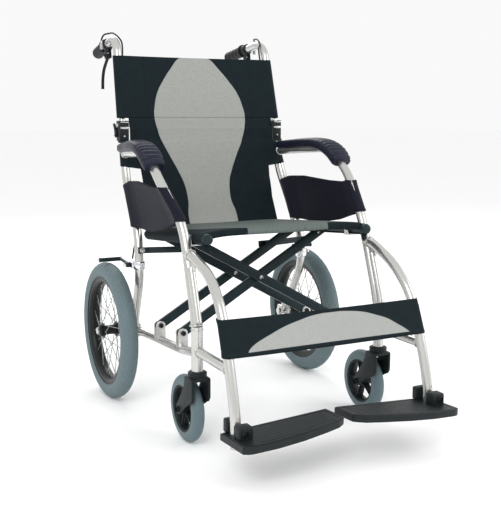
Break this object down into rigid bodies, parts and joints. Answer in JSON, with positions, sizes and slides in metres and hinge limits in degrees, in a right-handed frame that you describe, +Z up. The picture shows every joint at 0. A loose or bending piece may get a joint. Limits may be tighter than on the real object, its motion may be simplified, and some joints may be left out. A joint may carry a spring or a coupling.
{
  "type": "transport wheelchair",
  "caption": "Folding attendant-propelled wheelchair: cross-braced tube frame, sling seat and back, fold-down push handles with cable brakes, casters and flip-up footplates.",
  "frame": {"origin": "floor level, under the middle of the chair's length and width", "axes": "+Z up, the chair faces -Y (footplates), its right-hand side is at -X"},
  "size_m": [0.647, 1.0445, 0.942],
  "materials": {
    "black_grip": "soft black grip",
    "black_nylon": "woven black nylon",
    "black_plastic": "moulded black",
    "black_powder_coat": "satin blue-black powder coat",
    "bright_steel": "zinc plated",
    "cable_black": "plastic-sheathed cable",
    "champagne_aluminium": "satin champagne-silver tube",
    "grey_rubber": "blue-grey non-marking rubber",
    "navy_fabric": "dark navy-charcoal coated cloth",
    "navy_foam": "dark navy skin"
  },
  "bodies": {
    "right_frame": {"rear_upright_right": "champagne_aluminium", "armrest_upright_right": "champagne_aluminium", "leg_tube_right": "champagne_aluminium", "bottom_rail_right": "champagne_aluminium", "caster_housing_right": "champagne_aluminium", "upright_stiffener_right": "champagne_aluminium", "rail_saddle_right": "bright_steel", "armrest_pad_right": "navy_foam", "side_panel_right": "navy_fabric", "hinge_block_right": "black_plastic", "brake_bracket_right": "bright_steel", "rear_axle_right": "bright_steel", "brake_cable_lower_right": "cable_black", "back_sling_lower": "black_nylon", "calf_strap": "black_nylon"},
    "left_frame": {"rear_upright_left": "champagne_aluminium", "armrest_upright_left": "champagne_aluminium", "leg_tube_left": "champagne_aluminium", "bottom_rail_left": "champagne_aluminium", "caster_housing_left": "champagne_aluminium", "upright_stiffener_left": "champagne_aluminium", "rail_saddle_left": "bright_steel", "armrest_pad_left": "navy_foam", "side_panel_left": "navy_fabric", "hinge_block_left": "black_plastic", "brake_bracket_left": "bright_steel", "rear_axle_left": "bright_steel", "brake_cable_lower_left": "cable_black"},
    "brace_a": {"brace_to_left_rail": "black_powder_coat"},
    "brace_b": {"brace_to_right_rail": "black_powder_coat", "seat_sling": "black_nylon"},
    "upper_back_right": {"push_handle_right": "champagne_aluminium", "handle_grip_right": "black_grip", "brake_lever_mount_right": "black_plastic", "brake_cable_upper_right": "cable_black", "back_sling_upper": "black_nylon"},
    "back_release_lever_right": {"back_release_lever_right": "black_plastic"},
    "brake_lever_right": {"brake_lever_right": "black_plastic"},
    "brake_arm_right": {"brake_arm_right": "black_plastic"},
    "rear_wheel_right": {"rear_tyre_right": "grey_rubber", "rear_rim_right": "black_plastic"},
    "caster_fork_right": {"caster_fork_right": "black_plastic"},
    "caster_wheel_right": {"caster_tyre_right": "grey_rubber", "caster_rim_right": "black_plastic"},
    "footplate_right": {"footplate_right": "black_plastic"},
    "fold_link_right": {"fold_link_right": "black_powder_coat"},
    "upper_back_left": {"push_handle_left": "champagne_aluminium", "handle_grip_left": "black_grip", "brake_lever_mount_left": "black_plastic", "brake_cable_upper_left": "cable_black"},
    "back_release_lever_left": {"back_release_lever_left": "black_plastic"},
    "brake_lever_left": {"brake_lever_left": "black_plastic"},
    "brake_arm_left": {"brake_arm_left": "black_plastic"},
    "rear_wheel_left": {"rear_tyre_left": "grey_rubber", "rear_rim_left": "black_plastic"},
    "caster_fork_left": {"caster_fork_left": "black_plastic"},
    "caster_wheel_left": {"caster_tyre_left": "grey_rubber", "caster_rim_left": "black_plastic"},
    "footplate_left": {"footplate_left": "black_plastic"},
    "fold_link_left": {"fold_link_left": "black_powder_coat"}
  },
  "joints": [
    {"name": "fold", "type": "hinge", "parent": "right_frame", "child": "brace_a", "pos_m": [-0.205, -0.0878, 0.221], "axis": [0, -0.9962, 0.0872], "range_deg": [0, 42], "deforming": ["seat_sling", "back_sling_lower", "back_sling_upper", "calf_strap"]},
    {"name": "brace_cross", "type": "hinge", "parent": "brace_a", "child": "brace_b", "pos_m": [0, -0.07769, 0.33654], "axis": [0, -0.9962, 0.0872], "range_deg": [-84, 0]},
    {"name": "left_brace_foot", "type": "hinge", "parent": "brace_b", "child": "left_frame", "pos_m": [0.205, -0.0878, 0.221], "axis": [0, -0.9962, 0.0872], "range_deg": [0, 42]},
    {"name": "fold_link_right", "type": "hinge", "parent": "right_frame", "child": "fold_link_right", "pos_m": [-0.232, 0.1077, 0.391], "axis": [0, -0.9962, 0.0872], "range_deg": [0, 71.4]},
    {"name": "footplate_right", "type": "hinge", "parent": "right_frame", "child": "footplate_right", "pos_m": [-0.2375, -0.4333, 0.112], "axis": [0, -1, 0], "range_deg": [0, 86.1]},
    {"name": "back_fold_right", "type": "hinge", "parent": "right_frame", "child": "upper_back_right", "pos_m": [-0.2245, 0.2582, 0.697], "axis": [-1, 0, 0], "range_deg": [0, 100]},
    {"name": "back_release_right", "type": "hinge", "parent": "right_frame", "child": "back_release_lever_right", "pos_m": [-0.2398, 0.2642, 0.672], "axis": [1, 0, 0], "range_deg": [0, 12], "stiffness_Nm_per_rad": 0.02, "springref_deg": -17.19},
    {"name": "brake_lever_right", "type": "hinge", "parent": "upper_back_right", "child": "brake_lever_right", "pos_m": [-0.21162, 0.40447, 0.88338], "axis": [1, 0, 0], "range_deg": [0, 26], "stiffness_Nm_per_rad": 0.25, "springref_deg": -17.19},
    {"name": "brake_arm_right", "type": "hinge", "parent": "right_frame", "child": "brake_arm_right", "pos_m": [-0.2575, 0.1397, 0.352], "axis": [-1, 0, 0], "range_deg": [0, 2.4]},
    {"name": "rear_wheel_right", "type": "hinge", "parent": "right_frame", "child": "rear_wheel_right", "pos_m": [-0.289, 0.1997, 0.175], "axis": [1, 0, 0], "continuous": true},
    {"name": "caster_swivel_right", "type": "hinge", "parent": "right_frame", "child": "caster_fork_right", "pos_m": [-0.2365, -0.2438, 0.1755], "axis": [0, 0, 1], "continuous": true},
    {"name": "caster_wheel_right", "type": "hinge", "parent": "caster_fork_right", "child": "caster_wheel_right", "pos_m": [-0.2365, -0.1868, 0.076], "axis": [1, 0, 0], "continuous": true},
    {"name": "fold_link_left", "type": "hinge", "parent": "left_frame", "child": "fold_link_left", "pos_m": [0.232, 0.1077, 0.391], "axis": [0, -0.9962, 0.0872], "range_deg": [-71.4, 0]},
    {"name": "footplate_left", "type": "hinge", "parent": "left_frame", "child": "footplate_left", "pos_m": [0.2375, -0.4333, 0.112], "axis": [0, 1, 0], "range_deg": [0, 86.1]},
    {"name": "back_fold_left", "type": "hinge", "parent": "left_frame", "child": "upper_back_left", "pos_m": [0.2245, 0.2582, 0.697], "axis": [-1, 0, 0], "range_deg": [0, 100]},
    {"name": "back_release_left", "type": "hinge", "parent": "left_frame", "child": "back_release_lever_left", "pos_m": [0.2398, 0.2642, 0.672], "axis": [1, 0, 0], "range_deg": [0, 12], "stiffness_Nm_per_rad": 0.02, "springref_deg": -17.19},
    {"name": "brake_lever_left", "type": "hinge", "parent": "upper_back_left", "child": "brake_lever_left", "pos_m": [0.21162, 0.40447, 0.88338], "axis": [1, 0, 0], "range_deg": [0, 26], "stiffness_Nm_per_rad": 0.25, "springref_deg": -17.19},
    {"name": "brake_arm_left", "type": "hinge", "parent": "left_frame", "child": "brake_arm_left", "pos_m": [0.2575, 0.1397, 0.352], "axis": [-1, 0, 0], "range_deg": [0, 2.4]},
    {"name": "rear_wheel_left", "type": "hinge", "parent": "left_frame", "child": "rear_wheel_left", "pos_m": [0.289, 0.1997, 0.175], "axis": [1, 0, 0], "continuous": true},
    {"name": "caster_swivel_left", "type": "hinge", "parent": "left_frame", "child": "caster_fork_left", "pos_m": [0.2365, -0.2438, 0.1755], "axis": [0, 0, 1], "continuous": true},
    {"name": "caster_wheel_left", "type": "hinge", "parent": "caster_fork_left", "child": "caster_wheel_left", "pos_m": [0.2365, -0.1868, 0.076], "axis": [1, 0, 0], "continuous": true}
  ],
  "couplings": [
    {"joint": "brace_cross", "follows": "fold", "ratio": -2},
    {"joint": "left_brace_foot", "follows": "fold", "ratio": 1},
    {"joint": "fold_link_right", "follows": "fold", "ratio": 1.7},
    {"joint": "footplate_right", "follows": "fold", "ratio": 2.05},
    {"joint": "brake_arm_right", "follows": "brake_lever_right", "ratio": 0.085},
    {"joint": "fold_link_left", "follows": "fold", "ratio": -1.7},
    {"joint": "footplate_left", "follows": "fold", "ratio": 2.05},
    {"joint": "back_fold_left", "follows": "back_fold_right", "ratio": 1},
    {"joint": "brake_arm_left", "follows": "brake_lever_left", "ratio": 0.085}
  ]
}
